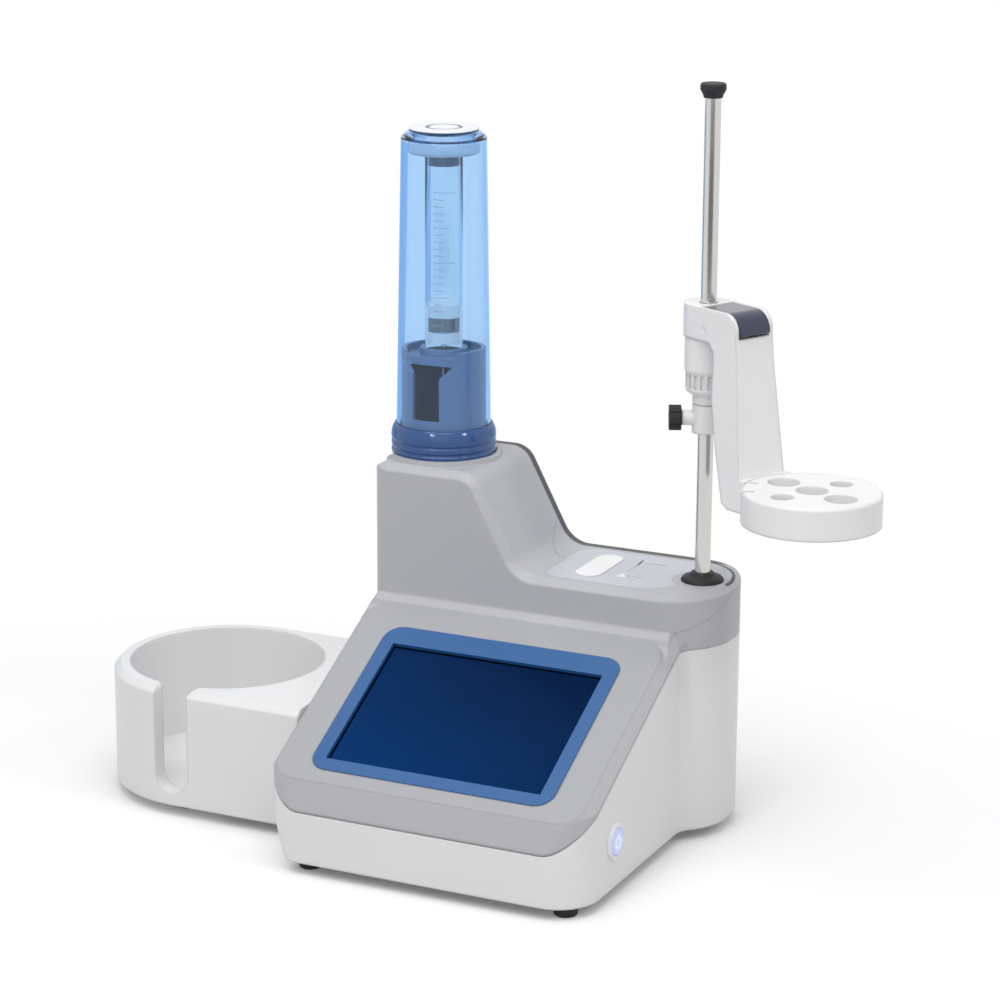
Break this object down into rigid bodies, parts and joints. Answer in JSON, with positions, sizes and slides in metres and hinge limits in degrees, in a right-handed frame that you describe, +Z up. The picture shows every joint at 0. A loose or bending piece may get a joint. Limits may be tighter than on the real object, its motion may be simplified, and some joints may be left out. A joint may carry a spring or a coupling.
{
  "type": "titrator",
  "caption": "Bench titrator with a sloping touch display, a dosing burette under a clear blue cover, a bottle holder at the side and an electrode arm on a rod.",
  "frame": {"origin": "on the table under the middle of the whole object", "axes": "+X to the right seen from the front, +Y towards the back, +Z up"},
  "size_m": [0.4672, 0.215, 0.435],
  "materials": {
    "white_housing": "fine satin moulding",
    "grey_housing": "fine satin moulding",
    "dark_plastic": "satin",
    "blue_frame": "satin gloss",
    "display": "clear gloss",
    "clear_cover": "clear gloss",
    "collar_blue": "translucent gloss",
    "slate_plastic": "satin",
    "steel": "brushed",
    "rubber": "matt",
    "glass": "clear",
    "fluoropolymer": "waxy",
    "navy_plastic": "satin gloss",
    "overlay": "fine satin film",
    "white_trim": "satin gloss",
    "lit_button": "lit satin",
    "circuit_board": "solder mask",
    "motor_black": "satin",
    "bronze": "turned"
  },
  "bodies": {
    "housing": {"lower_housing": "white_housing", "bottom_plate": "dark_plastic", "feet": "rubber", "bottom_screws": "steel", "upper_housing": "grey_housing", "rear_cover": "dark_plastic", "rear_screws": "steel", "display_frame": "blue_frame", "display_glass": "display", "display_module": "dark_plastic", "display_board": "circuit_board", "main_board": "circuit_board", "board_spacers": "steel", "deck_overlay": "overlay", "deck_pad": "white_trim", "bottle_holder": "white_housing", "holder_screws": "steel", "power_inlet": "dark_plastic", "data_sockets": "steel", "electrode_sockets": "steel", "button_bezel": "white_trim", "button_spring": "steel", "power_switch": "dark_plastic", "rod_socket": "steel", "rod_grommet": "rubber", "support_rod": "steel", "rod_cap": "rubber", "drive_top_plate": "steel", "drive_motor_plate": "steel", "guide_rods": "steel", "drive_motor": "motor_black", "ram_bush": "bronze", "burette_base": "slate_plastic", "glass_barrel": "glass", "barrel_plug": "slate_plastic", "barrel_head": "fluoropolymer"},
    "cover": {"burette_cover": "clear_cover", "cover_collar": "collar_blue", "cover_cap": "clear_cover"},
    "screw": {"lead_screw": "steel", "screw_coupling": "steel"},
    "plunger": {"drive_nut": "fluoropolymer", "ram_tube": "steel", "plunger_rod": "steel", "plunger_seal": "fluoropolymer", "plunger_ring": "steel", "plunger_head": "fluoropolymer"},
    "button": {"power_button": "lit_button"},
    "collar": {"stop_collar": "white_housing"},
    "clamp_knob": {"clamp_screw": "rubber"},
    "bush": {"clamp_bush": "white_housing"},
    "arm": {"arm_beam": "white_housing", "electrode_disc": "white_housing", "disc_screws": "steel", "lever_pin": "steel", "lever_spring": "steel"},
    "lever": {"release_lever": "navy_plastic"}
  },
  "joints": [
    {"name": "power_press", "type": "slide", "parent": "housing", "child": "button", "axis": [-1, 0, 0], "range_m": [0, 0.002], "stiffness_N_per_m": 400, "springref_m": -0.002},
    {"name": "cover_lift", "type": "slide", "parent": "housing", "child": "cover", "axis": [0, 0, 1], "range_m": [0, 0.19]},
    {"name": "screw_turn", "type": "hinge", "parent": "housing", "child": "screw", "pos_m": [-0.05112, 0.0685, 0.1], "axis": [0, 0, 1], "range_deg": [0, 6840]},
    {"name": "plunger_stroke", "type": "slide", "parent": "housing", "child": "plunger", "axis": [0, 0, 1], "range_m": [0, 0.076]},
    {"name": "collar_slide", "type": "slide", "parent": "housing", "child": "collar", "axis": [0, 0, 1], "range_m": [-0.045, 0]},
    {"name": "knob_turn", "type": "hinge", "parent": "collar", "child": "clamp_knob", "pos_m": [0.10048, 0.05982, 0.24475], "axis": [-0.9063, -0.4226, 0], "range_deg": [-360, 0]},
    {"name": "bush_slide", "type": "slide", "parent": "collar", "child": "bush", "axis": [0, 0, 1], "range_m": [0, 0.1]},
    {"name": "arm_swivel", "type": "hinge", "parent": "bush", "child": "arm", "pos_m": [0.11588, 0.067, 0.3116], "axis": [0, 0, 1], "range_deg": [-60, 100]},
    {"name": "lever_press", "type": "hinge", "parent": "arm", "child": "lever", "pos_m": [0.12667, 0.06174, 0.2996], "axis": [0.4384, 0.8988, 0], "range_deg": [0, 3], "stiffness_Nm_per_rad": 0.6, "springref_deg": -5.73}
  ],
  "couplings": [
    {"joint": "screw_turn", "follows": "plunger_stroke", "rad_per_m": 1570.8}
  ]
}
